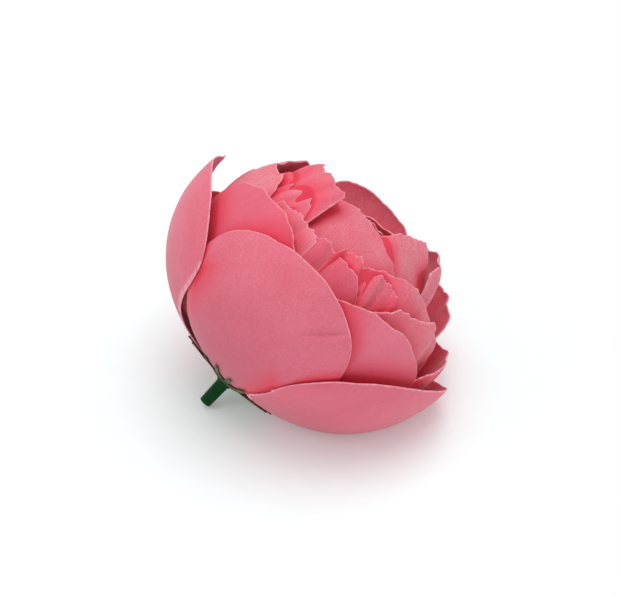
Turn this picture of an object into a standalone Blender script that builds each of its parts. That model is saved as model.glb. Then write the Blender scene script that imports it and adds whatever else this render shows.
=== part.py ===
"""A peony head cut off short under its calyx, lying on its side on a surface at z = 0.

The flower is made of rosettes of thin soft petals threaded on the peg of a moulded stem stub, over a star of
narrow sepals. Every piece is drawn upright about the flower's own axis, in millimetres, and one empty lays them
all down. The petals are sheets that lie between nested egg-shaped shells, so those of one rosette never reach
those of the next, and the surface presses the lowest ones flat.
"""

from math import cos, pi, radians, sin, sqrt
from random import Random
from typing import NamedTuple

import bmesh
import bpy
from mathutils import Matrix, Vector

MM = 0.001

# How the flower lies: its axis above the surface, the way that its head points, and the petals' turn about it
AXIS_RISE = 42.1
AXIS_HEADING = 24.0
PETAL_TURN = -134.8

# The outermost shell of the bowl, and how the shells inside it shrink for each millimetre of depth
BOWL_RADIUS = 45.3
BOWL_WIDEST = 41.0
BOWL_SQUARENESS = 2.3
FRONT_SLIMMING = 0.3
HEAD_TOP = 77.0
BLOOM_BASE = 0.3
BASE_STEP = 0.4
WIDEST_STEP = 0.72
WIDEST_STEPS_END = 12.0

PETAL_THICKNESS = 0.8
ROSETTE_GAP = 4.0
ROOT_ANGLE = 10.5
HUB_HOLE_ANGLE = 2.6
HUB_EDGE_ANGLE = 14.0
HUB_THICKNESS = 1.1
LIP_ANGLE = 24.0
HUB_SIDES = 24

# The pressed side: how high each shell is held above the surface, and how softly it bends down to it
PRESS_PER_DEPTH = 0.45
PRESS_SOFTNESS = 1.5
PRESS_SUNK = 0.1
SEPAL_ROOM = 1.3
SEPAL_ROOM_ENDS = (27.0, 38.0)

# Stem stub, with the peg above it and the socket for a wire stem below
STUB_RADIUS = 1.95
STUB_LENGTH = 9.7
STUB_LOW_RADIUS = 1.75
STUB_END_RADIUS = 1.6
STUB_CHAMFER = 0.4
COLLAR_RADIUS = 2.35
COLLAR_HEIGHT = 0.9
SOCKET_RADIUS = 1.2
SOCKET_DEPTH = 7.5
PEG_RADIUS = 1.4
PEG_TOP = 5.4
ROUND_SIDES = 20

# Calyx
SEPALS = 12
FIRST_SEPAL = -11.0
CALYX_TOP = 0.0
CALYX_THICKNESS = 0.8
CALYX_HUB_RADIUS = 5.2
SEPAL_ROOT_RADIUS = 4.0
SEPAL_FLAT_RADIUS = 8.5
SEPAL_TIP_RADIUS = 16.5
FRONT_SEPAL_REACH = 3.8
SEPAL_WIDTH = 2.3
SEPAL_THICKNESS = 0.65
TOUCH_GAP = 0.3

# Where the flat spot under the bloom lies, measured from the foot of the axis
REST_X = 34.6
REST_Y = 10.6


class Petal(NamedTuple):
    """One petal: angles in degrees, depths in millimetres, the share of its length where it is full width, and
    how wide its first side is beside its second."""

    azimuth: float
    half_width: float
    tip: float
    shoulder: float
    depth: float
    flare: float
    tilt: float
    cup: float
    ruffle: float
    widens: float = 0.45
    first_side: float = 1.0


# The four smooth petals of the bowl: left, front, right and back, as the flower lies
OUTER_PETALS = (
    Petal(-98, 60, 95, 64, -0.3, -1.0, 0.3, 0.0, 0.3, 1.0, 0.15),
    Petal(-4, 39, 100, 60, 1.1, -0.3, 0.2, 0.4, 0.2),
    Petal(82, 60, 88, 45, -0.4, 0.2, -0.3, 0.0, 0.3),
    Petal(178, 52, 94, 54, 0.9, 0.8, 0.0, 0.4, 0.4),
)
SECOND_PETALS = (
    Petal(-34, 27, 110.5, 89, 0.0, 0.0, 0.3, 0.3, 0.3),
    Petal(34, 37, 106, 74, -0.2, 0.0, -0.3, 0.3, 0.3),
    Petal(102, 37, 102, 86, 0.4, 1.0, 0.3, 0.2, 0.3),
    Petal(158, 42, 112, 78, -0.1, 0.6, 0.3, 0.3, 0.5),
    Petal(-120, 50, 84, 64, 0.7, 0.6, -0.3, 0.3, 0.4),
)
# The ring that closes over the heart, three of them flared outward, and the ones that stand inside it
THIRD_PETALS = (
    Petal(-2, 26, 121, 100, 0.6, 0.3, 0.3, 0.4, 0.5),
    Petal(-26, 15, 119.5, 115, 0.3, 0.6, -0.3, 0.3, 0.4),
    Petal(-66, 22, 125, 100, 0.6, 0.4, 0.4, 0.4, 0.5),
    Petal(56, 34, 119, 94, -0.2, 1.6, 0.3, 0.3, 0.7),
    Petal(126, 24, 124, 106, 0.9, 4.0, -0.3, 0.3, 0.4),
    Petal(-175, 24, 128, 119, 0.3, 6.0, -0.3, 0.3, 0.1),
    Petal(-110, 32, 132, 107, 0.8, 0.5, -0.3, 0.3, 0.4),
    Petal(-99, 24, 112, 93, 0.6, 0.4, 0.3, 0.4, 0.4),
    Petal(-60, 14, 130, 112, 1.6, 0.2, 0.3, 0.3, 0.5),
    Petal(-40, 15, 131, 112, 1.8, 0.4, -0.3, 0.3, 0.5),
    Petal(8, 13, 128, 112, 1.6, 0.2, 0.3, 0.3, 0.5),
    Petal(28, 15, 128, 112, 1.6, 0.2, -0.3, 0.3, 0.5),
    Petal(45, 41, 134, 109, 2.1, 0.4, 0.0, 0.2, 0.4),
    Petal(-46, 21.5, 144, 141, 2.3, 3.2, 0.0, 0.2, 0.4),
)
# The heart, from the large folded petals round it to the crumpled ones in its middle
HEART_PETALS = (
    Petal(-8, 58, 154, 121, 0.4, 0.2, 0.4, 0.6, 0.2),
    Petal(-66, 24, 140, 112, 0.8, 0.2, -0.3, 0.3, 0.6),
    Petal(-56, 30, 150, 112, 1.4, 0.2, -0.3, 0.3, 0.7),
    Petal(-120, 40, 140, 112, 0.6, 0.4, -0.3, 0.3, 0.6),
    Petal(170, 50, 142, 112, 0.6, 0.4, 0.3, 0.3, 0.6),
    Petal(106, 36, 147, 142, 0.5, 5.0, -0.3, 0.3, 0.4),
    Petal(59, 55, 160, 136, 1.0, 3.6, -1.4, 0.4, 0.3),
)
# The crumpled petals inside them follow a rule: each is turned by the golden angle from the last
INNER_PETALS = 7
INNER_FIRST_AZIMUTH = 33.0
GOLDEN_ANGLE = 137.5
INNER_DEPTHS = (3.6, 8.0)
INNER_TIPS = (148.0, 172.0)
INNER_SHOULDERS = (118.0, 142.0)
INNER_HALF_WIDTH = 46.0
INNER_ROOT_ANGLE = 92.0
INNER_ROOT_SINK = 6.0
JITTER_SEED = 7

CORE_RADIUS = 25.0
CORE_BASE = 5.7
CORE_TOP = 50.0

# Cells across and along each petal's sheet
OUTER_CELLS = (10, 8)
SECOND_CELLS = (9, 7)
THIRD_CELLS = (5, 6)
HEART_CELLS = (6, 5)
INNER_CELLS = (5, 4)


def smooth_step(start, end, value):
    share = min(max((value - start) / (end - start), 0.0), 1.0)
    return share * share * (3 - 2 * share)


def shell_sizes(depth):
    """Radius, height of the widest ring, base and top of the egg-shaped shell at this depth."""
    widest = BOWL_WIDEST - WIDEST_STEP * min(depth, WIDEST_STEPS_END)
    return BOWL_RADIUS - depth, widest, BASE_STEP * depth, HEAD_TOP - depth


def squareness(azimuth):
    """The bowl swells less at the front petal's foot than at its sides."""
    return BOWL_SQUARENESS - FRONT_SLIMMING * max(cos(radians(azimuth)), 0)


def bowl_height(ring, azimuth):
    """Height of the outermost shell's underside at this distance from the axis."""
    power = squareness(azimuth)
    return BLOOM_BASE + BOWL_WIDEST * (1 - (1 - (ring / BOWL_RADIUS) ** power) ** (1 / power))


def shell_point(angle, azimuth, depth):
    """A point of a shell: angle runs from the stem, 0, over the widest ring, 90, to the top of the head, 180."""
    radius, widest, base, top = shell_sizes(depth)
    across = sin(radians(angle))
    along = cos(radians(angle))
    if along > 0:
        power = squareness(azimuth)
        swell = (across**power + along**power) ** (-1 / power)
        height = widest - (widest - base) * along * swell
    else:
        swell = 1.0
        height = widest - (top - widest) * along
    ring = radius * across * swell
    return Vector((ring * cos(radians(azimuth)), ring * sin(radians(azimuth)), height + BLOOM_BASE))


def lying_rotation():
    heading = Matrix.Rotation(radians(AXIS_HEADING), 4, "Z")
    lean = Matrix.Rotation(radians(90 - AXIS_RISE), 4, "Y")
    return heading @ lean @ Matrix.Rotation(radians(PETAL_TURN), 4, "Z")


ROTATION = lying_rotation()
UPWARD = Vector(ROTATION[2][:3])
# The stub's lower rim touches the surface, which sets the height of the flower's foot
FOOT_HEIGHT = STUB_LENGTH * UPWARD.z + STUB_END_RADIUS * sqrt(1 - UPWARD.z**2)


def press(point, hold):
    """Lifts a point that would lie under the surface to just above the height that its shell is held at."""
    height = FOOT_HEIGHT + point.dot(UPWARD)
    over = height - hold
    pressed = hold + 0.5 * (over + sqrt(over * over + PRESS_SOFTNESS**2)) - PRESS_SUNK
    return point + UPWARD * (max(pressed, hold) - height)


def petal_hold(angle, depth):
    """How high a petal is held: clear of the sepals near the stem, and on the surface further out."""
    start, end = SEPAL_ROOM_ENDS
    return max(PRESS_PER_DEPTH * depth, 0.0) + SEPAL_ROOM * (1 - smooth_step(start, end, angle))


def new_object(name, mesh, collection):
    piece = bpy.data.objects.new(name, mesh)
    collection.objects.link(piece)
    return piece


def sheet_grid(name, columns, rows, place, collection, wrapped=False):
    """A grid whose points are placed by a rule, cut into triangles so that both faces of its thickness match."""
    shape = bmesh.new()
    bmesh.ops.create_grid(shape, x_segments=columns, y_segments=rows, size=1.0)
    for vert in shape.verts:
        vert.co = place(vert.co.x, vert.co.y) * MM
    if wrapped:
        bmesh.ops.remove_doubles(shape, verts=shape.verts, dist=0.0001 * MM)
    bmesh.ops.triangulate(shape, faces=shape.faces)
    mesh = bpy.data.meshes.new(name)
    shape.to_mesh(mesh)
    shape.free()
    return new_object(name, mesh, collection)


def thicken(piece, thickness):
    solidify = piece.modifiers.new("thickness", "SOLIDIFY")
    solidify.thickness = thickness * MM
    solidify.offset = -1.0
    solidify.use_even_offset = True
    solidify.use_quality_normals = True


def petal_rule(petal, rosette_depth, phases, root_angle, root_sink):
    """Gives the rule that places a petal's points from (across, along), each from -1 to 1."""

    def place(across, along):
        side = sin(across * pi / 2)
        length = (along + 1) / 2
        rim = petal.shoulder + (petal.tip - petal.shoulder) * sqrt(max(1 - abs(side) ** 2.2, 0))
        angle = root_angle + (rim - root_angle) * length
        spread = 0.55 + 0.45 * smooth_step(0, petal.widens, length)
        half_width = petal.half_width * (petal.first_side if side < 0 else 1)
        azimuth = petal.azimuth + half_width * side * spread
        grown = smooth_step(0.05, 0.4, length)
        lip = smooth_step(petal.tip - LIP_ANGLE, petal.tip, angle)
        edge = smooth_step(0.7, 1.0, length)
        crumple = sin(2.3 * pi * side + phases[0]) + 0.5 * sin(4.1 * pi * side + phases[1])
        depth = petal.depth + petal.tilt * side + petal.cup * side * side
        depth = rosette_depth + depth * grown + root_sink * (1 - grown)
        depth += petal.ruffle * crumple * edge - petal.flare * lip
        return press(shell_point(angle, azimuth, depth), petal_hold(angle, depth))

    return place


def hub_rule(rosette_depth):
    """The ring that the petals of one rosette are cut from, with a hole for the peg."""
    out = (HUB_THICKNESS - PETAL_THICKNESS) / 2 / BASE_STEP

    def place(across, along):
        angle = HUB_HOLE_ANGLE + (HUB_EDGE_ANGLE - HUB_HOLE_ANGLE) * (along + 1) / 2
        depth = rosette_depth - out
        return press(shell_point(angle, 180 * across, depth), petal_hold(angle, rosette_depth) - out * BASE_STEP)

    return place


def evaluated_mesh(piece):
    graph = bpy.context.evaluated_depsgraph_get()
    return bpy.data.meshes.new_from_object(piece.evaluated_get(graph))


def islands(shape):
    """The groups of faces that hang together; two that only touch along an edge stay apart."""
    left = set(shape.faces)
    while left:
        group = []
        waiting = [left.pop()]
        while waiting:
            face = waiting.pop()
            group.append(face)
            for edge in face.edges:
                if len(edge.link_faces) > 2:
                    continue
                near = [other for other in edge.link_faces if other in left]
                left.difference_update(near)
                waiting.extend(near)
        yield group


def keep_main_skin(mesh):
    """Fills each hollow that fusing has sealed and drops each loose scrap: both are skins of their own."""
    shape = bmesh.new()
    shape.from_mesh(mesh)
    bmesh.ops.triangulate(shape, faces=shape.faces)
    skins = sorted(islands(shape), key=len)
    for skin in skins[:-1]:
        bmesh.ops.delete(shape, geom=skin, context="FACES")
    shape.to_mesh(mesh)
    shape.free()


def fuse(name, pieces, collection, solver="MANIFOLD"):
    """One body from overlapping pieces, which are then removed."""
    first, others = pieces[0], pieces[1:]
    gathered = bpy.data.collections.new("fused into " + name)
    bpy.context.scene.collection.children.link(gathered)
    for piece in others:
        for owner in list(piece.users_collection):
            owner.objects.unlink(piece)
        gathered.objects.link(piece)
    union = first.modifiers.new("union", "BOOLEAN")
    union.operation = "UNION"
    union.operand_type = "COLLECTION"
    union.collection = gathered
    union.solver = solver
    body = new_object(name, evaluated_mesh(first), collection)
    keep_main_skin(body.data)
    for piece in pieces:
        bpy.data.objects.remove(piece)
    bpy.data.collections.remove(gathered)
    return body


def make_petals(petals, cells, rosette_depth, workshop, root_angle=ROOT_ANGLE, root_sink=0.0):
    """Loose petals of one rosette, each with its own seeded crumple."""
    draw = Random(JITTER_SEED + int(10 * rosette_depth))
    sheets = []
    for petal in petals:
        phases = (draw.uniform(0, 2 * pi), draw.uniform(0, 2 * pi))
        rule = petal_rule(petal, rosette_depth, phases, root_angle, root_sink)
        sheet = sheet_grid("petal", *cells, rule, workshop)
        thicken(sheet, PETAL_THICKNESS)
        sheets.append(sheet)
    return sheets


def make_hub(rosette_depth, workshop):
    hub = sheet_grid("hub", HUB_SIDES, 1, hub_rule(rosette_depth), workshop, wrapped=True)
    thicken(hub, HUB_THICKNESS)
    return hub


def make_rosette(name, petals, cells, rosette_depth, workshop, collection):
    hub = make_hub(rosette_depth, workshop)
    sheets = make_petals(petals, cells, rosette_depth, workshop)
    return fuse(name, [hub, *sheets], collection)


def make_heart(workshop, collection):
    """The last rosette, with the packed core on its hub and crumpled petals rooted in the core."""
    depth = 3 * ROSETTE_GAP
    pieces = [make_hub(depth, workshop), make_core(workshop)]
    pieces += make_petals(HEART_PETALS, HEART_CELLS, depth, workshop)
    pieces += make_petals(inner_petals(), INNER_CELLS, depth, workshop, INNER_ROOT_ANGLE, INNER_ROOT_SINK)
    return fuse("heart_petals", pieces, collection)


def inner_petals():
    draw = Random(JITTER_SEED)
    for index in range(INNER_PETALS):
        share = index / (INNER_PETALS - 1)
        tip, shoulder, depth = (
            first + (last - first) * share for first, last in (INNER_TIPS, INNER_SHOULDERS, INNER_DEPTHS)
        )
        yield Petal(
            azimuth=INNER_FIRST_AZIMUTH + GOLDEN_ANGLE * index,
            half_width=INNER_HALF_WIDTH + 12 * share,
            tip=tip + draw.uniform(-4, 4),
            shoulder=shoulder,
            depth=depth,
            flare=draw.uniform(-0.6, 1.2),
            tilt=0.8,
            cup=0.4,
            ruffle=draw.uniform(0.8, 1.2),
        )


def make_core(collection):
    """The packed middle of the head, which the crumpled petals stand out of."""
    shape = bmesh.new()
    bmesh.ops.create_uvsphere(shape, u_segments=14, v_segments=8, radius=1.0)
    half = (CORE_TOP - CORE_BASE) / 2
    for vert in shape.verts:
        vert.co = Vector((vert.co.x * CORE_RADIUS, vert.co.y * CORE_RADIUS, CORE_BASE + half * (1 + vert.co.z)))
        vert.co = press(vert.co, CORE_BASE) * MM
    mesh = bpy.data.meshes.new("core")
    shape.to_mesh(mesh)
    shape.free()
    return new_object("core", mesh, collection)


def turned_solid(name, profile, collection):
    """A turned piece from (radius, height) points that run down its outer side and up any bore."""
    mesh = bpy.data.meshes.new(name)
    points = [(radius * MM, 0.0, height * MM) for radius, height in profile]
    edges = [(i, i + 1) for i in range(len(points) - 1)]
    if profile[0][0] > 0:
        edges.append((len(points) - 1, 0))
    mesh.from_pydata(points, edges, [])
    piece = new_object(name, mesh, collection)
    screw = piece.modifiers.new("turn", "SCREW")
    screw.steps = ROUND_SIDES
    screw.render_steps = ROUND_SIDES
    screw.use_merge_vertices = True
    screw.merge_threshold = 0.000001
    return piece


def make_stub(collection):
    profile = [
        (0, PEG_TOP),
        (PEG_RADIUS - 0.3, PEG_TOP),
        (PEG_RADIUS, PEG_TOP - 0.3),
        (PEG_RADIUS, CALYX_TOP - CALYX_THICKNESS - TOUCH_GAP),
        (COLLAR_RADIUS, CALYX_TOP - CALYX_THICKNESS - TOUCH_GAP),
        (COLLAR_RADIUS, CALYX_TOP - CALYX_THICKNESS - TOUCH_GAP - COLLAR_HEIGHT),
        (STUB_RADIUS, CALYX_TOP - CALYX_THICKNESS - TOUCH_GAP - COLLAR_HEIGHT),
        (STUB_LOW_RADIUS, -STUB_LENGTH + STUB_CHAMFER),
        (STUB_END_RADIUS, -STUB_LENGTH),
        (SOCKET_RADIUS, -STUB_LENGTH),
        (SOCKET_RADIUS, -STUB_LENGTH + SOCKET_DEPTH),
        (0, -STUB_LENGTH + SOCKET_DEPTH + 0.6),
    ]
    return turned_solid("stem_stub", profile, collection)


def sepal_rule(azimuth):
    """A narrow blade that lies flat near the stem and then hugs the bowl, longest under the front petal."""
    tip = SEPAL_TIP_RADIUS + FRONT_SEPAL_REACH * max(cos(radians(azimuth)), 0)

    def place(across, along):
        reach = (along + 1) / 2
        radius = SEPAL_ROOT_RADIUS + (tip - SEPAL_ROOT_RADIUS) * reach
        bend = smooth_step(SEPAL_FLAT_RADIUS, tip + 2, radius)
        rise = (bowl_height(tip, azimuth) - TOUCH_GAP) * bend
        top = min(CALYX_TOP - 0.05 + rise, bowl_height(radius, azimuth) - TOUCH_GAP)
        width = SEPAL_WIDTH * (1 - 0.72 * reach**1.5)
        turned = Matrix.Rotation(radians(azimuth), 3, "Z")
        flat = turned @ Vector((radius, width / 2 * across, 0))
        return press(Vector((flat.x, flat.y, top - SEPAL_THICKNESS)), 0.0)

    return place


def make_calyx(workshop, collection):
    hub = turned_solid(
        "calyx hub",
        [
            (CALYX_HUB_RADIUS, CALYX_TOP),
            (CALYX_HUB_RADIUS, CALYX_TOP - CALYX_THICKNESS),
            (PEG_RADIUS + TOUCH_GAP, CALYX_TOP - CALYX_THICKNESS),
            (PEG_RADIUS + TOUCH_GAP, CALYX_TOP),
        ],
        workshop,
    )
    pieces = [hub]
    for index in range(SEPALS):
        azimuth = FIRST_SEPAL + index * 360 / SEPALS
        sepal = sheet_grid("sepal", 1, 5, sepal_rule(azimuth), workshop)
        thicken(sepal, SEPAL_THICKNESS)
        pieces.append(sepal)
    return fuse("calyx", pieces, collection)


def plain_material(name, colour, roughness):
    material = bpy.data.materials.new(name)
    material.use_nodes = True
    shader = material.node_tree.nodes["Principled BSDF"]
    shader.inputs["Base Color"].default_value = (*colour, 1)
    shader.inputs["Roughness"].default_value = roughness
    shader.inputs["Metallic"].default_value = 0.0
    return material


def main():
    for leftover in list(bpy.data.objects):
        bpy.data.objects.remove(leftover)
    scene = bpy.context.scene.collection
    flower = bpy.data.collections.new("peony")
    workshop = bpy.data.collections.new("workshop")
    scene.children.link(flower)
    scene.children.link(workshop)

    lying = bpy.data.objects.new("flower_axis", None)
    flower.objects.link(lying)
    foot = Vector((-REST_X * MM, -REST_Y * MM, FOOT_HEIGHT * MM))
    lying.matrix_world = Matrix.Translation(foot) @ ROTATION

    petal_pink = plain_material("petal_pink", (0.60, 0.13, 0.19), 0.75)
    heart_pink = plain_material("heart_pink", (0.66, 0.15, 0.22), 0.75)
    stem_green = plain_material("stem_green", (0.0, 0.06, 0.02), 0.3)
    calyx_green = plain_material("calyx_green", (0.09, 0.11, 0.04), 0.6)

    stub = make_stub(flower)
    calyx = make_calyx(workshop, flower)
    rosettes = [
        make_rosette("outer_petals", OUTER_PETALS, OUTER_CELLS, 0.0, workshop, flower),
        make_rosette("second_petals", SECOND_PETALS, SECOND_CELLS, ROSETTE_GAP, workshop, flower),
        make_rosette("third_petals", THIRD_PETALS, THIRD_CELLS, 2 * ROSETTE_GAP, workshop, flower),
        make_heart(workshop, flower),
    ]
    bpy.data.collections.remove(workshop)

    stub.data.materials.append(stem_green)
    calyx.data.materials.append(calyx_green)
    for rosette in rosettes[:2]:
        rosette.data.materials.append(petal_pink)
    for rosette in rosettes[2:]:
        rosette.data.materials.append(heart_pink)
    for piece in [stub, calyx, *rosettes]:
        piece.parent = lying
        piece.data.shade_smooth()
        piece.data.set_sharp_from_angle(angle=radians(40))


main()
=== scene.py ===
"""A peony head of soft thin petals that lies on its side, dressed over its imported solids.

Every piece is drawn upright about the flower's own axis, in millimetres, by the same rules as its solid, only
finer, and is then laid down on the table.
"""

from math import cos, pi, radians, sin, sqrt
from random import Random
from typing import NamedTuple

import bpy
import numpy as np
from mathutils import Matrix, Vector


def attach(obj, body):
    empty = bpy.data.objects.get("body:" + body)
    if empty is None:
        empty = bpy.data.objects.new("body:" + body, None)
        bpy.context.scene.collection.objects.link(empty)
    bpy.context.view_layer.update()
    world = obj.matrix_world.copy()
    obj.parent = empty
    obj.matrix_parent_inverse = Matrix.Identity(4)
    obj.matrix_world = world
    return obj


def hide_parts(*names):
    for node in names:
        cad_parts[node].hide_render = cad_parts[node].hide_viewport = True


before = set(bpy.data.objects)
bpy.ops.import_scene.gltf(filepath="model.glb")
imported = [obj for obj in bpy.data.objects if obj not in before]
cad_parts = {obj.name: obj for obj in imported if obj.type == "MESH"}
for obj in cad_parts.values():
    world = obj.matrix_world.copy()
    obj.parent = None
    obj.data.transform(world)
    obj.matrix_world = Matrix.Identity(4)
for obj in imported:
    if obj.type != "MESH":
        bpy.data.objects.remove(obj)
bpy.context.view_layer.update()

# The table and the light
#
# A white studio table, faintly lit from below, under soft light from all round and most from above. It is
# seen from in front of the petals and from 38 degrees above the table.

VIEW_HEIGHT = radians(38.0)
VIEW_DISTANCE = 0.9
VIEW_TARGET = Vector((-0.0118, 0.0031, 0.0252))
VIEW_LENS = 188.0
TABLE_REACH = 3.0
TABLE_DROP = 0.0002
TABLE_GLOW = 0.17
SKY_STRENGTH = 0.63

camera_data = bpy.data.cameras.new("camera")
camera_data.lens = VIEW_LENS
camera_data.clip_start = 0.01
camera = bpy.data.objects.new("camera", camera_data)
camera.location = VIEW_TARGET + VIEW_DISTANCE * Vector((0, -cos(VIEW_HEIGHT), sin(VIEW_HEIGHT)))
camera.rotation_euler = (pi / 2 - VIEW_HEIGHT, 0, 0)
bpy.context.scene.collection.objects.link(camera)
bpy.context.scene.camera = camera
bpy.context.scene.view_settings.view_transform = "Standard"


class Shade:
    """A value in a material's nodes. Arithmetic on it adds Math nodes, and node() adds any other kind."""

    def __init__(self, tree, socket=None):
        self.tree = tree
        self.socket = socket

    def node(self, kind, settings=None, inputs=None, output=0):
        made = self.tree.nodes.new("ShaderNode" + kind)
        for name, value in (settings or {}).items():
            setattr(made, name, value)
        for name, value in (inputs or {}).items():
            if isinstance(value, Shade):
                self.tree.links.new(value.socket, made.inputs[name])
            else:
                made.inputs[name].default_value = value
        return Shade(self.tree, made.outputs[output])

    def math(self, operation, first, second=0.0):
        return self.node("Math", {"operation": operation}, {0: first, 1: second})

    def __add__(self, other):
        return self.math("ADD", self, other)

    def __radd__(self, other):
        return self.math("ADD", other, self)

    def __sub__(self, other):
        return self.math("SUBTRACT", self, other)

    def __rsub__(self, other):
        return self.math("SUBTRACT", other, self)

    def __mul__(self, other):
        return self.math("MULTIPLY", self, other)

    def __rmul__(self, other):
        return self.math("MULTIPLY", other, self)

    def mix(self, first, second):
        """Two colours mixed by this value."""
        return self.node("Mix", {"data_type": "RGBA"}, {0: self, 6: first, 7: second}, 2)

    def between(self, low, high):
        """This value stretched so that low gives 0 and high gives 1."""
        settings = {"interpolation_type": "SMOOTHSTEP"}
        return self.node("MapRange", settings, {"Value": self, "From Min": low, "From Max": high})


def new_finish(name):
    """A material, a Shade to build its nodes with, and its surface shader."""
    finish = bpy.data.materials.new(name)
    finish.use_nodes = True
    return finish, Shade(finish.node_tree), finish.node_tree.nodes["Principled BSDF"]


def wire(shade, surface, name):
    """Feeds one of a surface's inputs from a Shade."""
    shade.tree.links.new(shade.socket, surface.inputs[name])


def table_finish():
    finish, start, surface = new_finish("white_table")
    speckle = start.node("TexNoise", inputs={"Scale": 900.0, "Detail": 3.0})
    wire(speckle.mix((0.78, 0.87, 0.87, 1), (0.82, 0.91, 0.91, 1)), surface, "Base Color")
    surface.inputs["Roughness"].default_value = 0.7
    surface.inputs["Emission Color"].default_value = (1, 1, 1, 1)
    surface.inputs["Emission Strength"].default_value = TABLE_GLOW
    return finish


table_corners = [(x * TABLE_REACH, y * TABLE_REACH, 0) for x, y in ((-1, -1), (1, -1), (1, 1), (-1, 1))]
table_mesh = bpy.data.meshes.new("table")
table_mesh.from_pydata(table_corners, [], [(0, 1, 2, 3)])
table = bpy.data.objects.new("table", table_mesh)
table.location.z = -TABLE_DROP
table_mesh.materials.append(table_finish())
bpy.context.scene.collection.objects.link(table)

sky = bpy.data.worlds.new("soft light all round")
sky.use_nodes = True
sky.node_tree.nodes["Background"].inputs["Color"].default_value = (1, 1, 1, 1)
sky.node_tree.nodes["Background"].inputs["Strength"].default_value = SKY_STRENGTH
bpy.context.scene.world = sky


def soft_box(name, place, size, power):
    """A square soft light that points at the flower."""
    light = bpy.data.lights.new(name, "AREA")
    light.size = size
    light.energy = power
    lamp = bpy.data.objects.new(name, light)
    lamp.location = place
    lamp.rotation_euler = (VIEW_TARGET - Vector(place)).to_track_quat("-Z", "Y").to_euler()
    bpy.context.scene.collection.objects.link(lamp)


soft_box("soft box above", (0.04, 0.06, 0.98), 0.8, 4.5)
soft_box("soft box above left", (-0.7, -0.2, 0.7), 0.5, 0.8)

# Stem stub
#
# What is left of the stem: a short pin of glossy green plastic, moulded with a collar under the calyx, a
# peg above it that the rosettes are threaded on, and a socket in its end for a wire stem.

AXIS_RISE = 42.1
AXIS_HEADING = 24.0
PETAL_TURN = -134.8
REST_X = 34.6
REST_Y = 10.6
STUB_RADIUS = 1.95
STUB_LENGTH = 9.7
STUB_LOW_RADIUS = 1.75
STUB_END_RADIUS = 1.6
STUB_CHAMFER = 0.4
COLLAR_RADIUS = 2.35
COLLAR_HEIGHT = 0.9
SOCKET_RADIUS = 1.2
SOCKET_DEPTH = 7.5
PEG_RADIUS = 1.4
PEG_TOP = 5.4
STUB_SIDES = 72
STUB_ROUNDING = 0.22
PARTING_RIDGE = 0.05
PARTING_SHARPNESS = 160
MM = 0.001
CALYX_TOP = 0.0
CALYX_THICKNESS = 0.8
TOUCH_GAP = 0.3

heading = Matrix.Rotation(radians(AXIS_HEADING), 3, "Z")
lean = Matrix.Rotation(radians(90 - AXIS_RISE), 3, "Y")
LYING = np.array(heading @ lean @ Matrix.Rotation(radians(PETAL_TURN), 3, "Z"))
FOOT_HEIGHT = STUB_LENGTH * LYING[2, 2] + STUB_END_RADIUS * sqrt(1 - LYING[2, 2] ** 2)
FOOT = np.array([-REST_X, -REST_Y, FOOT_HEIGHT])


def lay_down(points):
    """Turns points about the upright axis into points of the flower that lies on the table."""
    return points @ LYING.T + FOOT


def grid_faces(index, wrapped=False):
    """Quads between the neighbours of a grid of point numbers."""
    following = np.roll(index, -1, axis=0) if wrapped else index[1:]
    start = index if wrapped else index[:-1]
    quads = np.stack([start[:, :-1], following[:, :-1], following[:, 1:], start[:, 1:]], axis=-1)
    return quads.reshape(-1, 4)


def new_piece(name, points, faces, finish, node, sharp=40.0):
    """A piece from points in millimetres, which rides on the flower and stands for one of its solids."""
    mesh = bpy.data.meshes.new(name)
    mesh.from_pydata((points * MM).tolist(), [], faces.tolist())
    mesh.shade_smooth()
    mesh.set_sharp_from_angle(angle=radians(sharp))
    mesh.materials.append(finish)
    piece = bpy.data.objects.new(name, mesh)
    bpy.context.scene.collection.objects.link(piece)
    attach(piece, "root")
    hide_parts(node)
    return piece


def rounded(profile, radius, steps=4):
    """A profile with each inner corner cut to an arc."""
    points = [Vector(profile[0])]
    for before, corner, after in zip(profile, profile[1:], profile[2:]):
        before, corner, after = Vector(before), Vector(corner), Vector(after)
        reach = min(radius, (before - corner).length / 2.2, (after - corner).length / 2.2)
        start = corner + (before - corner).normalized() * reach
        end = corner + (after - corner).normalized() * reach
        for step in range(steps + 1):
            share = step / steps
            points.append(start * (1 - share) ** 2 + corner * 2 * share * (1 - share) + end * share**2)
    points.append(Vector(profile[-1]))
    return points


def stub_finish():
    finish, start, surface = new_finish("stem_green_gloss")
    place = start.node("TexCoord", output="Object")
    cloud = start.node("TexNoise", inputs={"Vector": place, "Scale": 420.0, "Detail": 4.0})
    scuffs = start.node("TexNoise", inputs={"Vector": place, "Scale": 2600.0, "Detail": 2.0})
    wire(cloud.mix((0.0, 0.035, 0.005, 1), (0.002, 0.07, 0.014, 1)), surface, "Base Color")
    wire(0.3 + scuffs.between(0.4, 0.7) * 0.15, surface, "Roughness")
    bump = start.node("Bump", inputs={"Strength": 0.25, "Distance": 0.0001, "Height": scuffs})
    wire(bump, surface, "Normal")
    surface.inputs["Specular IOR Level"].default_value = 0.12
    return finish


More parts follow.
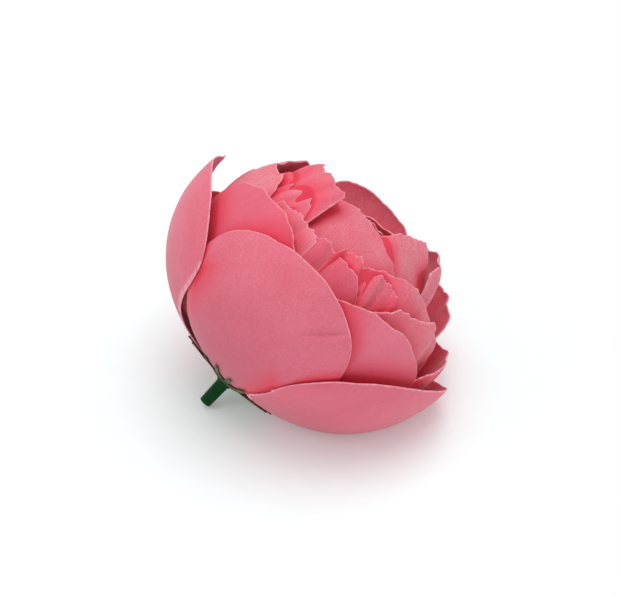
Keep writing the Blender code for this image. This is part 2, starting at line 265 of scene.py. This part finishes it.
collar_top = CALYX_TOP - CALYX_THICKNESS - TOUCH_GAP
stub_profile = rounded(
    [
        (0, PEG_TOP),
        (PEG_RADIUS, PEG_TOP),
        (PEG_RADIUS, collar_top),
        (COLLAR_RADIUS, collar_top),
        (COLLAR_RADIUS, collar_top - COLLAR_HEIGHT),
        (STUB_RADIUS, collar_top - COLLAR_HEIGHT - 0.15),
        (STUB_LOW_RADIUS, -STUB_LENGTH + STUB_CHAMFER),
        (STUB_END_RADIUS, -STUB_LENGTH),
        (SOCKET_RADIUS, -STUB_LENGTH),
        (SOCKET_RADIUS, -STUB_LENGTH + SOCKET_DEPTH),
        (0, -STUB_LENGTH + SOCKET_DEPTH + 0.6),
    ],
    STUB_ROUNDING,
)
turn = np.arange(STUB_SIDES)[:, None] * 2 * pi / STUB_SIDES
stub_ring = np.array([point.x for point in stub_profile])[None, :] + 0 * turn
stub_height = np.array([point.y for point in stub_profile])[None, :] + 0 * turn
parting_line = np.abs(np.cos(turn)) ** PARTING_SHARPNESS * (stub_ring > PEG_RADIUS + 0.1)
stub_ring = stub_ring + PARTING_RIDGE * parting_line
stub_points = np.stack([stub_ring * np.cos(turn), stub_ring * np.sin(turn), stub_height], axis=-1)
stub_index = np.arange(stub_height.size).reshape(stub_height.shape)
new_piece(
    "stem_stub_moulding",
    lay_down(stub_points.reshape(-1, 3)),
    grid_faces(stub_index, wrapped=True)[:, ::-1],
    stub_finish(),
    "stem_stub",
)

# Calyx
#
# A star of twelve narrow sepals, with a shorter one between each two, in dull olive plastic under the
# petals. It is one thin moulding with a hole for the peg. The sepals hug the bowl, have a rib and go brown
# at their tips.

SEPALS = 12
FIRST_SEPAL = -11.0
CALYX_HUB_RADIUS = 5.2
SEPAL_ROOT_RADIUS = 4.0
SEPAL_BEND_END = 10.0
SEPAL_TIP_RADIUS = 15.5
FRONT_SEPAL_REACH = 6.8
BETWEEN_SEPAL_CUT = 1.2
SEPAL_WIDTH = 1.9
SEPAL_THICKNESS = 0.65
SEPAL_RIB = 0.3
SEPAL_SEED = 3
SEPAL_COLUMNS = 11
SEPAL_ROWS = 30
HUB_SIDES = 72
CALYX_HUB_ROWS = 14
LOWEST_CALYX = 0.05

BOWL_RADIUS = 45.3
BOWL_WIDEST = 41.0
BOWL_SQUARENESS = 2.3
FRONT_SLIMMING = 0.3
BLOOM_BASE = 0.3


def smooth_step(start, end, value):
    share = np.clip((value - start) / (end - start), 0, 1)
    return share * share * (3 - 2 * share)


def squareness(azimuth):
    """The bowl swells less at the front petal's foot than at its sides."""
    return BOWL_SQUARENESS - FRONT_SLIMMING * np.maximum(np.cos(np.radians(azimuth)), 0)


def bowl_height(ring, azimuth):
    """Height of the outermost shell's underside at this distance from the axis."""
    power = squareness(azimuth)
    return BLOOM_BASE + BOWL_WIDEST * (1 - (1 - (ring / BOWL_RADIUS) ** power) ** (1 / power))


def lens_sheet(outer, half_thickness, body_half, wrapped=False):
    """Points and faces of a closed sheet under a grid of outer points, thinned to nothing at its border."""
    across = np.gradient(outer, axis=0)
    if wrapped:
        across = np.roll(outer, -1, axis=0) - np.roll(outer, 1, axis=0)
    normals = np.cross(across, np.gradient(outer, axis=1))
    normals /= np.maximum(np.linalg.norm(normals, axis=-1, keepdims=True), 1e-9)
    middle = outer - normals * body_half
    shift = normals * half_thickness[..., None]
    columns, rows = half_thickness.shape
    front = np.arange(columns * rows).reshape(columns, rows)
    kept = slice(None) if wrapped else slice(1, -1)
    back = front.copy()
    own = back[kept, 1:-1]
    back[kept, 1:-1] = columns * rows + np.arange(own.size).reshape(own.shape)
    points = np.concatenate([(middle + shift).reshape(-1, 3), (middle - shift)[kept, 1:-1].reshape(-1, 3)])
    faces = np.concatenate([grid_faces(front, wrapped), grid_faces(back, wrapped)[:, ::-1]])
    return points, faces


def doubled(values, wrapped=False):
    """A grid's values for the points of a lens_sheet."""
    kept = slice(None) if wrapped else slice(1, -1)
    return np.concatenate([values.reshape(-1), values[kept, 1:-1].reshape(-1)])


def gathered(sheets):
    """Several lots of points and faces as one."""
    points = np.concatenate([lot for lot, _ in sheets])
    starts = np.cumsum([0] + [len(lot) for lot, _ in sheets[:-1]])
    return points, np.concatenate([faces + start for (_, faces), start in zip(sheets, starts)])


def sepal_sheet(azimuth, cut, draw):
    """One sepal, with a rib along its middle; cut is how much shorter it is than the longest ones."""
    across = np.linspace(-1, 1, SEPAL_COLUMNS)[:, None]
    reach = np.linspace(0, 1, SEPAL_ROWS)[None, :]
    tip = SEPAL_TIP_RADIUS + FRONT_SEPAL_REACH * max(cos(radians(azimuth)), 0) ** 2 - cut
    radius = SEPAL_ROOT_RADIUS + (tip + draw.uniform(-1.2, 0.4) - SEPAL_ROOT_RADIUS) * reach
    under = bowl_height(radius, azimuth) - TOUCH_GAP
    top = np.minimum(CALYX_TOP - 0.05 + under * smooth_step(CALYX_HUB_RADIUS, SEPAL_BEND_END, radius), under)
    width = SEPAL_WIDTH * (1 - 0.45 * reach) * np.sqrt(np.maximum(1 - reach**5, 0))
    sway = draw.uniform(-0.5, 0.5) * reach**2
    offset = width / 2 * across + sway
    angle = radians(azimuth)
    x = radius * cos(angle) - offset * sin(angle)
    y = radius * sin(angle) + offset * cos(angle)
    upper = np.stack([x, y, top - 0.25 * across**2 + 0 * x], axis=-1)
    ribbed = 0.55 + 0.45 * np.exp(-((across / SEPAL_RIB) ** 2))
    half = SEPAL_THICKNESS / 2 * ribbed * (1 - across**4) * (1 - reach**8) * smooth_step(0, 0.05, reach)
    points, faces = lens_sheet(upper[::-1], half[::-1], -SEPAL_THICKNESS / 2)
    return points, faces, doubled(reach + 0 * half)


def calyx_finish():
    finish, start, surface = new_finish("calyx_olive")
    place = start.node("TexCoord", output="Object")
    outward = start.node("Attribute", {"attribute_name": "outward"}, output="Fac")
    cloud = start.node("TexNoise", inputs={"Vector": place, "Scale": 380.0, "Detail": 5.0})
    fibre = start.node("TexNoise", inputs={"Vector": place, "Scale": 3200.0, "Detail": 3.0})
    olive = cloud.between(0.35, 0.65).mix((0.05, 0.08, 0.025, 1), (0.12, 0.14, 0.06, 1))
    browned = (outward + cloud * 0.5 - 0.25).between(0.6, 1.15)
    wire(browned.mix(olive, (0.14, 0.075, 0.035, 1)), surface, "Base Color")
    wire(0.5 + fibre * 0.25, surface, "Roughness")
    wire(start.node("Bump", inputs={"Strength": 0.5, "Distance": 0.0002, "Height": fibre}), surface, "Normal")
    return finish


def set_values(piece, name, values):
    """Gives each point of a piece a value that its finish reads by name."""
    piece.data.attributes.new(name, "FLOAT", "POINT").data.foreach_set("value", values.astype(np.float32))


def calyx_hub():
    """The moulding's round middle, a flat ring about the peg."""
    turned = np.arange(HUB_SIDES)[:, None] * 2 * pi / HUB_SIDES
    share = np.linspace(0, 1, CALYX_HUB_ROWS)[None, :]
    ring = PEG_RADIUS + TOUCH_GAP + (CALYX_HUB_RADIUS - PEG_RADIUS - TOUCH_GAP) * share
    edge = np.minimum(share, 1 - share) * (CALYX_HUB_RADIUS - PEG_RADIUS)
    x, y = ring * np.cos(turned), ring * np.sin(turned)
    under = np.stack([x, y, CALYX_TOP - CALYX_THICKNESS / 2 + 0 * x], axis=-1)
    half = CALYX_THICKNESS / 2 * np.sqrt(smooth_step(0, 0.35, edge)) + 0 * x
    points, faces = lens_sheet(under, half, 0.0, wrapped=True)
    return points, faces, 0 * points[:, 0]


sepal_draw = Random(SEPAL_SEED)
calyx_sheets = [calyx_hub()]
for index in range(SEPALS):
    sepal_azimuth = FIRST_SEPAL + index * 360 / SEPALS
    calyx_sheets.append(sepal_sheet(sepal_azimuth, 0.0, sepal_draw))
    calyx_sheets.append(sepal_sheet(sepal_azimuth + 180 / SEPALS, BETWEEN_SEPAL_CUT, sepal_draw))
calyx_points, calyx_faces = gathered([sheet[:2] for sheet in calyx_sheets])
calyx_points = lay_down(calyx_points)
calyx_points[:, 2] = np.maximum(calyx_points[:, 2], LOWEST_CALYX)
calyx = new_piece("calyx_star", calyx_points, calyx_faces, calyx_finish(), "calyx")
set_values(calyx, "outward", np.concatenate([sheet[2] for sheet in calyx_sheets]))

# Outer petals
#
# Four large smooth petals that make the bowl, cut with the rest of their rosette from thin dyed foam and
# curved over a warm former. The cut leaves a pale edge, and the surface has the fine matt grain of the foam.

HEAD_TOP = 77.0
BASE_STEP = 0.4
WIDEST_STEP = 0.72
WIDEST_STEPS_END = 12.0
PETAL_THICKNESS = 0.8
RIM_THICKNESS = 0.45
THINNING_WIDTH = 7.0
CUT_EDGE_WIDTH = 0.36
SHEET_LENGTH = 1000
ROSETTE_GAP = 4.0
ROOT_ANGLE = 10.5
HUB_HOLE_ANGLE = 2.6
HUB_EDGE_ANGLE = 14.0
HUB_ROWS = 12
LIP_ANGLE = 24.0
FOOT_WIDTH = 0.55
RIM_ROUNDNESS = 2.2
RIM_CROWDING = 1.7
CRUMPLE_RATES = (2.3, 4.1)
PRESS_PER_DEPTH = 0.45
PRESS_SOFTNESS = 1.5
PRESS_SUNK = 0.1
SEPAL_ROOM = 1.3
SEPAL_ROOM_ENDS = (27.0, 38.0)
JITTER_SEED = 7


class Petal(NamedTuple):
    """One petal: angles in degrees, depths in millimetres, the share of its length where it is full width,
    and how wide its first side is beside its second."""

    azimuth: float
    half_width: float
    tip: float
    shoulder: float
    depth: float
    flare: float
    tilt: float
    cup: float
    ruffle: float
    widens: float = 0.45
    first_side: float = 1.0


class Cut(NamedTuple):
    """How finely a rosette's petals are drawn, how uneven and how ragged their cut rims are, in degrees, and
    the height and size of their folds and the height of the pleats along their rims, in millimetres."""

    columns: int
    rows: int
    rim_wave: float
    ragged: float
    fold: float
    fold_size: float
    pleat: float


OUTER_CUT = Cut(118, 88, 2.0, 0.35, 0.22, 15.0, 0.1)
RIM_WAVES = (5, 4, 22)
RAGGED_WAVES = (5, 18, 42)
PLEAT_WAVES = (4, 3, 9)
FOLDS = 6
PLEAT_SPACING = 2.8
# How far the painted shade under outer petals reaches, further on petals that lie deeper in the head
TUCK_SHADE_DEPTHS = (0.0, 4.0, 12.0)
TUCK_SHADE_REACHES = (5.0, 10.0, 4.0)
CREASE_START = (10.5, 77.3)
CREASE_END = (21.6, 89.6)
CREASE_DEPTH = 0.8
CREASE_WIDTH = 0.8
OUTER_PETALS = (
    Petal(-98, 60, 95, 64, -0.3, -1.0, 0.3, 0.0, 0.3, 1.0, 0.15),
    Petal(-4, 39, 100, 60, 1.1, -0.3, 0.2, 0.4, 0.2),
    Petal(82, 60, 88, 45, -0.4, 0.2, -0.3, 0.0, 0.3),
    Petal(178, 52, 94, 54, 0.9, 0.8, 0.0, 0.4, 0.4),
)


def shell_points(angle, azimuth, depth):
    """Points of the shells: angle runs from the stem, 0, over the widest ring, 90, to the head's top, 180."""
    widest = BOWL_WIDEST - WIDEST_STEP * np.minimum(depth, WIDEST_STEPS_END)
    across, along = np.sin(np.radians(angle)), np.cos(np.radians(angle))
    power = squareness(azimuth)
    low = along > 0
    swell = np.where(low, (np.abs(across) ** power + np.abs(along) ** power) ** (-1 / power), 1.0)
    low_height = widest - (widest - BASE_STEP * depth) * along * swell
    height = np.where(low, low_height, widest - (HEAD_TOP - depth - widest) * along)
    ring = (BOWL_RADIUS - depth) * across * swell
    turned = np.radians(azimuth)
    return np.stack([ring * np.cos(turned), ring * np.sin(turned), height + BLOOM_BASE], axis=-1)


def held_up(points, hold):
    """Lifts what would lie under the table to just above the height that its shell is held at."""
    over = points[..., 2] - hold
    pressed = hold + 0.5 * (over + np.sqrt(over * over + PRESS_SOFTNESS**2)) - PRESS_SUNK
    return np.concatenate([points[..., :2], np.maximum(pressed, hold)[..., None]], axis=-1)


def outer_face(angle, azimuth, depth):
    """The outer face of a petal at this depth, lying on the table."""
    start, end = SEPAL_ROOM_ENDS
    hold = PRESS_PER_DEPTH * np.maximum(depth, 0) + SEPAL_ROOM * (1 - smooth_step(start, end, angle))
    return held_up(lay_down(shell_points(angle, azimuth, depth)), hold)


def waves(draw, count, low, high):
    """A seeded uneven line about 0, between -1 and 1, for a place along it."""
    drawn = [(draw.uniform(low, high), draw.uniform(0, 2 * pi), draw.uniform(0.5, 1)) for _ in range(count)]
    total = sum(height for _, _, height in drawn)

    def line(place):
        return sum(height * np.sin(rate * place + phase) for rate, phase, height in drawn) / total

    return line


def folds(draw, count, size):
    """Seeded creases over a sheet, mostly lengthwise, about 0 and up to 1 high at their ridges."""
    drawn = []
    for _ in range(count):
        slant = draw.gauss(0, 0.5)
        rate = pi / (size * draw.uniform(0.6, 1.5))
        phase, bend = draw.uniform(0, 2 * pi), draw.uniform(1, 3) / size
        drawn.append((rate * cos(slant), rate * sin(slant), phase, bend))

    def relief(across, along):
        total = 0
        for x, y, phase, bend in drawn:
            swing = np.sin(x * across + y * along + phase + np.sin(along * bend + phase))
            total = total + 0.6 - np.sqrt(swing * swing + 0.02)
        return total / count

    return relief


def plain_rim(petal, side):
    """Angle of a petal's even rim at each place across it, from -1 to 1."""
    return petal.shoulder + (petal.tip - petal.shoulder) * np.sqrt(1 - np.abs(side) ** RIM_ROUNDNESS)


def full_width(petal, side):
    """Degrees from a petal's middle to its edge, on its first side where side is below 0."""
    return petal.half_width * np.where(side < 0, petal.first_side, 1)


def width_share(petal, share):
    """How much of its full width a petal has at this share of its length."""
    return FOOT_WIDTH + (1 - FOOT_WIDTH) * smooth_step(0, petal.widens, share)


def crease(azimuth, angle):
    """The shallow slanting crease pressed into the front petal, in millimetres below its face."""
    start, end = np.array(CREASE_START), np.array(CREASE_END)
    run = (end - start) * radians(1) * BOWL_RADIUS
    x = (azimuth - start[0]) * radians(1) * BOWL_RADIUS
    y = (angle - start[1]) * radians(1) * BOWL_RADIUS
    share = (x * run[0] + y * run[1]) / (run @ run)
    off = (x * run[1] - y * run[0]) / sqrt(run @ run)
    return CREASE_DEPTH * np.exp(-((off / CREASE_WIDTH) ** 2) - (2 * share - 1) ** 4)


def pleats(petal, draw, side, across_mm, along_mm):
    """Height of the narrow lengthwise pleats that gather a ruffled rim, up to about 1 at their ridges."""
    bends = waves(draw, *PLEAT_WAVES)(side)
    swing = pi * across_mm / PLEAT_SPACING + 3 * bends + np.sin(along_mm / 5)
    heights = 0.5 + 0.5 * waves(draw, *PLEAT_WAVES)(side)
    return min(2 * petal.ruffle, 1) * heights * (0.7 - np.sqrt(np.sin(swing) ** 2 + 0.03))


def tuck(azimuth, angle, depth):
    """How far each point lies under the petals outside it, from 0 out in the open to 1 under them, as the
    mask of the painted shade there. Its reach follows how deep the petal lies in the head."""
    off = 99.0 + 0 * azimuth
    for petal, rosette_depth in placed_petals:
        if rosette_depth + petal.depth > depth - 0.3:
            continue
        turned = (azimuth - petal.azimuth + 180) % 360 - 180
        width = full_width(petal, turned)
        rim = plain_rim(petal, np.clip(turned / width, -1, 1))
        share = (angle - ROOT_ANGLE) / (rim - ROOT_ANGLE)
        past_side = np.abs(turned) - width * width_share(petal, share)
        off = np.minimum(off, np.maximum(past_side, angle - rim))
    off = np.maximum(off, 0) * radians(1) * BOWL_RADIUS
    return np.exp(-((off / np.interp(depth, TUCK_SHADE_DEPTHS, TUCK_SHADE_REACHES)) ** 2))


def pressed_depth(petal, side, share, angle, phases, rosette_depth, root_sink):
    """Depth of a petal's points as it is pressed into its place in the head, before its fine folds."""
    grown = smooth_step(0.05, 0.4, share)
    lip = smooth_step(petal.tip - LIP_ANGLE, petal.tip, angle)
    first, second = (np.sin(rate * pi * side + phase) for rate, phase in zip(CRUMPLE_RATES, phases))
    crumple = (first + 0.5 * second) * smooth_step(0.7, 1.0, share)
    depth = petal.depth + petal.tilt * side + petal.cup * side * side
    depth = rosette_depth + depth * grown + root_sink * (1 - grown)
    return depth + petal.ruffle * crumple - petal.flare * lip


def petal_sheet(petal, cut, rosette_depth, phases, draw, root_angle=ROOT_ANGLE, root_sink=0.0):
    """Points, faces and surface values of one petal. Its lengths are measured along its shell, in
    millimetres."""
    side = np.sin(np.linspace(-1, 1, cut.columns)[:, None] * pi / 2)
    share = 1 - (1 - np.linspace(0, 1, cut.rows)[None, :]) ** RIM_CROWDING
    rim = plain_rim(petal, side)
    rim = rim + petal.ruffle * cut.rim_wave * (waves(draw, *RIM_WAVES)(side) - 0.4)
    rim = rim + cut.ragged * min(2.5 * petal.ruffle, 1) * waves(draw, *RAGGED_WAVES)(side)
    angle = root_angle + (rim - root_angle) * share
    spread = width_share(petal, share)
    azimuth = petal.azimuth + full_width(petal, side) * side * spread

    per_degree = radians(1) * (BOWL_RADIUS - rosette_depth)
    narrowing = np.sin(np.radians(angle))
    across_mm = (azimuth - petal.azimuth) * per_degree * np.maximum(narrowing, 0.3)
    along_mm = angle * per_degree + 0 * across_mm
    depth = pressed_depth(petal, side, share, angle, phases, rosette_depth, root_sink)
    relief = folds(draw, FOLDS, cut.fold_size)(across_mm, along_mm)
    depth = depth + cut.fold * relief * smooth_step(0.1, 0.5, share)
    ridges = pleats(petal, draw, side, across_mm, along_mm)
    depth = depth - cut.pleat * ridges * smooth_step(0.5, 0.95, share)
    if rosette_depth == 0:
        # Only the front petal of this rosette reaches to where the crease is
        depth = depth + crease(azimuth, angle)

    to_rim = (rim - angle) * per_degree
    to_side = (1 - np.abs(side)) * petal.half_width * spread * per_degree * narrowing
    to_edge = np.minimum(np.minimum(to_rim, to_side), 4 * share)
    thick = RIM_THICKNESS + (PETAL_THICKNESS - RIM_THICKNESS) * smooth_step(0, THINNING_WIDTH, to_edge)
    round_off = np.clip(1 - 2 * to_edge / thick, 0, 1)
    half = thick / 2 * np.sqrt(1 - round_off**2)
    points, faces = lens_sheet(outer_face(angle, azimuth, depth), half, PETAL_THICKNESS / 2)
    # Each petal is cut from a place of its own on the dyed sheet, far from the others'
    sheet_place = SHEET_LENGTH * draw.random()
    return points, faces, {
        "edge": doubled(np.exp(-((to_edge / CUT_EDGE_WIDTH) ** 2))),
        "rooted": doubled(1 - share + 0 * to_edge),
        "tucked": doubled(tuck(azimuth, angle, rosette_depth + petal.depth)),
        "across_mm": doubled(across_mm + sheet_place),
        "along_mm": doubled(along_mm),
        "tint": doubled(draw.random() + 0 * to_edge),
    }


def hub_sheet(rosette_depth):
    """The ring that the petals of one rosette hang on, with its hole for the peg."""
    azimuth = np.arange(HUB_SIDES)[:, None] * 360 / HUB_SIDES
    share = np.linspace(0, 1, HUB_ROWS)[None, :]
    angle = HUB_HOLE_ANGLE + (HUB_EDGE_ANGLE - HUB_HOLE_ANGLE) * share + 0 * azimuth
    half = PETAL_THICKNESS / 2 * np.sqrt(smooth_step(0, 0.15, np.minimum(share, 1 - share))) + 0 * azimuth
    outer = outer_face(angle, azimuth, rosette_depth + 0 * angle)
    points, faces = lens_sheet(outer, half, PETAL_THICKNESS / 2, wrapped=True)
    nothing = doubled(0 * half, wrapped=True)
    # The hub lies under all its petals, so it takes the full painted shade
    values = {"edge": nothing, "rooted": nothing + 1, "tucked": nothing + 1, "tint": nothing + 0.5}
    azimuths = doubled(azimuth + 0 * half, wrapped=True)
    return points, faces, values | {"across_mm": azimuths, "along_mm": doubled(angle, wrapped=True)}


# Painted shade towards the petals' roots
ROOT_PAINTED_SHADE = (0.5, 0.09, 0.135, 1)
# Painted shade in the deepest recesses under the next petals
PAINTED_RECESS_SHADE = (0.7, 0.015, 0.045, 1)
CUT_EDGE_PINK = (0.96, 0.42, 0.5, 1)


def petal_finish(name, shaded, lit, painted_shade_crimson):
    """Dyed foam: its two pinks drift over a petal in a fine grain. Painted shade darkens it at its root and
    paints it crimson where it lies under the next petal, and it is pale where it was cut."""
    finish, start, surface = new_finish(name)

    def value(attribute):
        return start.node("Attribute", {"attribute_name": attribute}, output="Fac")

    across, along = value("across_mm"), value("along_mm")
    place = start.node("CombineXYZ", inputs={"X": across, "Y": along, "Z": value("tint") * 40})
    stretched = start.node("CombineXYZ", inputs={"X": across, "Y": along * 0.25})
    cloud = start.node("TexNoise", inputs={"Vector": place, "Scale": 0.09, "Detail": 4.0})
    veining = {"Vector": stretched, "Scale": 0.9, "Detail": 5.0, "Roughness": 0.65}
    veins = start.node("TexNoise", inputs=veining)
    grain = start.node("TexNoise", inputs={"Vector": place, "Scale": 3.4, "Detail": 3.0})
    drift = cloud * 0.6 + value("tint") * 0.6 + veins * 0.5 + grain * 1.7 - 1.2
    pink = drift.between(0.1, 1.0).mix(shaded, lit)
    # Painted shade, darker towards the root
    pink = (value("rooted").between(0.15, 0.9) * 0.7).mix(pink, ROOT_PAINTED_SHADE)
    # Painted shade: crimson where the petal lies under the petals outside it, deeper crimson in the recesses
    pink = (value("tucked") * 0.8).mix(pink, painted_shade_crimson)
    pink = (value("tucked").between(0.85, 1.0) * 0.6).mix(pink, PAINTED_RECESS_SHADE)
    pale = value("edge") * veins.between(0.25, 0.65)
    wire(pale.mix(pink, CUT_EDGE_PINK), surface, "Base Color")
    wire(0.72 + grain * 0.2, surface, "Roughness")
    height = grain * 0.35 + veins * 0.65
    bump = start.node("Bump", inputs={"Strength": 0.5, "Distance": 0.00025, "Height": height})
    wire(bump, surface, "Normal")
    surface.inputs["Specular IOR Level"].default_value = 0.2
    surface.inputs["Sheen Weight"].default_value = 0.25
    surface.inputs["Sheen Roughness"].default_value = 0.4
    return finish


def rosette_piece(name, sheets, finish, node):
    """One rosette from its sheets, with their surface values."""
    points, faces = gathered([sheet[:2] for sheet in sheets])
    points[:, 2] = np.maximum(points[:, 2], 0)
    piece = new_piece(name, points, faces, finish, node, sharp=60.0)
    for value in sheets[0][2]:
        set_values(piece, value, np.concatenate([sheet[2][value] for sheet in sheets]))


def petal_sheets(petals, cut, rosette_depth, root_angle=ROOT_ANGLE, root_sink=0.0):
    """The sheets of one rosette's petals, with the same seeded crumple as the solids and fine folds of their
    own."""
    draw = Random(JITTER_SEED + int(10 * rosette_depth))
    placed_petals.extend((petal, rosette_depth) for petal in petals)
    sheets = []
    for petal in petals:
        phases = (draw.uniform(0, 2 * pi), draw.uniform(0, 2 * pi))
        fine = Random(f"{petal.azimuth} {rosette_depth}")
        sheets.append(petal_sheet(petal, cut, rosette_depth, phases, fine, root_angle, root_sink))
    return sheets


placed_petals = []
bowl_pink = petal_finish(
    "bowl_petal_foam",
    shaded=(0.75, 0.135, 0.2, 1),
    lit=(0.82, 0.205, 0.285, 1),
    painted_shade_crimson=(0.83, 0.04, 0.085, 1),
)
outer_sheets = [hub_sheet(0.0), *petal_sheets(OUTER_PETALS, OUTER_CUT, 0.0)]
rosette_piece("outer_petal_rosette", outer_sheets, bowl_pink, "outer_petals")

# Second petals
#
# The next rosette on the peg, cut from the same foam: five petals pressed to the bowl's curve, whose rims
# stand a little above the bowl's and are a little more uneven.

SECOND_CUT = Cut(88, 72, 2.6, 0.45, 0.3, 13.0, 0.25)
SECOND_PETALS = (
    Petal(-34, 27, 110.5, 89, 0.0, 0.0, 0.3, 0.3, 0.3),
    Petal(34, 37, 106, 74, -0.2, 0.0, -0.3, 0.3, 0.3),
    Petal(102, 37, 102, 86, 0.4, 1.0, 0.3, 0.2, 0.3),
    Petal(158, 42, 112, 78, -0.1, 0.6, 0.3, 0.3, 0.5),
    Petal(-120, 50, 84, 64, 0.7, 0.6, -0.3, 0.3, 0.4),
)
second_sheets = [hub_sheet(ROSETTE_GAP), *petal_sheets(SECOND_PETALS, SECOND_CUT, ROSETTE_GAP)]
rosette_piece("second_petal_rosette", second_sheets, bowl_pink, "second_petals")

# Third petals
#
# Fourteen smaller petals. Most close over the heart, three flare outward over the far side and the narrow
# ones stand inside the ring. Their foam was gathered while warm, so their rims are wavy and creased.

THIRD_CUT = Cut(64, 54, 3.2, 0.65, 0.5, 8.0, 0.2)
THIRD_PETALS = (
    Petal(-2, 26, 121, 100, 0.6, 0.3, 0.3, 0.4, 0.5),
    Petal(-26, 15, 119.5, 115, 0.3, 0.6, -0.3, 0.3, 0.4),
    Petal(-66, 22, 125, 100, 0.6, 0.4, 0.4, 0.4, 0.5),
    Petal(56, 34, 119, 94, -0.2, 1.6, 0.3, 0.3, 0.7),
    Petal(126, 24, 124, 106, 0.9, 4.0, -0.3, 0.3, 0.4),
    Petal(-175, 24, 128, 119, 0.3, 6.0, -0.3, 0.3, 0.1),
    Petal(-110, 32, 132, 107, 0.8, 0.5, -0.3, 0.3, 0.4),
    Petal(-99, 24, 112, 93, 0.6, 0.4, 0.3, 0.4, 0.4),
    Petal(-60, 14, 130, 112, 1.6, 0.2, 0.3, 0.3, 0.5),
    Petal(-40, 15, 131, 112, 1.8, 0.4, -0.3, 0.3, 0.5),
    Petal(8, 13, 128, 112, 1.6, 0.2, 0.3, 0.3, 0.5),
    Petal(28, 15, 128, 112, 1.6, 0.2, -0.3, 0.3, 0.5),
    Petal(45, 41, 134, 109, 2.1, 0.4, 0.0, 0.2, 0.4),
    Petal(-46, 21.5, 144, 141, 2.3, 3.2, 0.0, 0.2, 0.4),
)
heart_pink = petal_finish(
    "heart_petal_foam",
    shaded=(0.75, 0.11, 0.17, 1),
    lit=(0.82, 0.27, 0.33, 1),
    painted_shade_crimson=(0.88, 0.085, 0.14, 1),
)
third_sheets = [hub_sheet(2 * ROSETTE_GAP), *petal_sheets(THIRD_PETALS, THIRD_CUT, 2 * ROSETTE_GAP)]
rosette_piece("third_petal_rosette", third_sheets, heart_pink, "third_petals")

# Heart petals
#
# The innermost rosette: large petals folded over the middle, crumpled ones packed inside them, and the wad
# of foam that they are glued round.

HEART_CUT = Cut(68, 54, 3.0, 0.6, 0.6, 8.0, 0.24)
HEART_PETALS = (
    Petal(-8, 58, 154, 121, 0.4, 0.2, 0.4, 0.6, 0.2),
    Petal(-66, 24, 140, 112, 0.8, 0.2, -0.3, 0.3, 0.6),
    Petal(-56, 30, 150, 112, 1.4, 0.2, -0.3, 0.3, 0.7),
    Petal(-120, 40, 140, 112, 0.6, 0.4, -0.3, 0.3, 0.6),
    Petal(170, 50, 142, 112, 0.6, 0.4, 0.3, 0.3, 0.6),
    Petal(106, 36, 147, 142, 0.5, 5.0, -0.3, 0.3, 0.4),
    Petal(59, 55, 160, 136, 1.0, 3.6, -1.4, 0.4, 0.3),
)
INNER_CUT = Cut(56, 44, 2.4, 0.7, 1.1, 6.0, 0.35)
INNER_PETALS = 7
INNER_FIRST_AZIMUTH = 33.0
GOLDEN_ANGLE = 137.5
INNER_DEPTHS = (3.6, 8.0)
INNER_TIPS = (148.0, 172.0)
INNER_SHOULDERS = (118.0, 142.0)
INNER_TIP_PLAY = 4.0
INNER_HALF_WIDTHS = (46.0, 58.0)
INNER_FLARES = (-0.6, 1.2)
INNER_RUFFLES = (0.8, 1.2)
INNER_ROOT_ANGLE = 92.0
INNER_ROOT_SINK = 6.0
CORE_RADIUS = 25.0
CORE_BASE = 5.7
CORE_TOP = 50.0
CORE_COLUMNS = 110
CORE_ROWS = 72
CORE_WRINKLES = 3.0
CORE_WRINKLE_SIZE = 6.0
CORE_SKIN_RADIUS = 22.0
POLE_HOLE = 0.0001


def inner_petals():
    """The crumpled petals, each turned by the golden angle from the last and a little deeper in the head."""
    draw = Random(JITTER_SEED)
    runs = (INNER_HALF_WIDTHS, INNER_TIPS, INNER_SHOULDERS, INNER_DEPTHS)
    for index in range(INNER_PETALS):
        share = index / (INNER_PETALS - 1)
        half_width, tip, shoulder, depth = (first + (last - first) * share for first, last in runs)
        yield Petal(
            azimuth=INNER_FIRST_AZIMUTH + GOLDEN_ANGLE * index,
            half_width=half_width,
            tip=tip + draw.uniform(-INNER_TIP_PLAY, INNER_TIP_PLAY),
            shoulder=shoulder,
            depth=depth,
            flare=draw.uniform(*INNER_FLARES),
            tilt=0.8,
            cup=0.4,
            ruffle=draw.uniform(*INNER_RUFFLES),
        )


def core_sheet():
    """The wad of foam in the middle, creased all over."""
    azimuth = np.arange(CORE_COLUMNS)[:, None] * 2 * pi / CORE_COLUMNS
    rise = np.linspace(POLE_HOLE, pi - POLE_HOLE, CORE_ROWS)[None, :]
    sideways, forward = (CORE_RADIUS * np.sin(rise) * line(azimuth) for line in (np.cos, np.sin))
    wrinkles = CORE_WRINKLES * folds(Random(JITTER_SEED), 4, CORE_WRINKLE_SIZE)(sideways, forward)
    ring = (CORE_RADIUS + wrinkles) * np.sin(rise)
    height = CORE_BASE + (CORE_TOP - CORE_BASE) / 2 * (1 - np.cos(rise)) - wrinkles * np.cos(rise)
    upright = np.stack([ring * np.cos(azimuth), ring * np.sin(azimuth), height], axis=-1)
    points = held_up(lay_down(upright), CORE_BASE).reshape(-1, 3)
    faces = grid_faces(np.arange(ring.size).reshape(ring.shape), wrapped=True)
    nothing = np.zeros(ring.size)
    along = (rise * CORE_SKIN_RADIUS + 0 * ring).reshape(-1)
    across = (azimuth * CORE_SKIN_RADIUS + 0 * ring).reshape(-1)
    # The core lies deep in the heart, so it takes the full painted shade and most of the painted root shade
    values = {"edge": nothing, "rooted": nothing + 0.8, "tucked": nothing + 1, "tint": nothing}
    return points, faces, values | {"across_mm": across, "along_mm": along}


heart_depth = 3 * ROSETTE_GAP
heart_sheets = [hub_sheet(heart_depth), *petal_sheets(HEART_PETALS, HEART_CUT, heart_depth), core_sheet()]
heart_sheets += petal_sheets(list(inner_petals()), INNER_CUT, heart_depth, INNER_ROOT_ANGLE, INNER_ROOT_SINK)
rosette_piece("heart_petal_rosette", heart_sheets, heart_pink, "heart_petals")
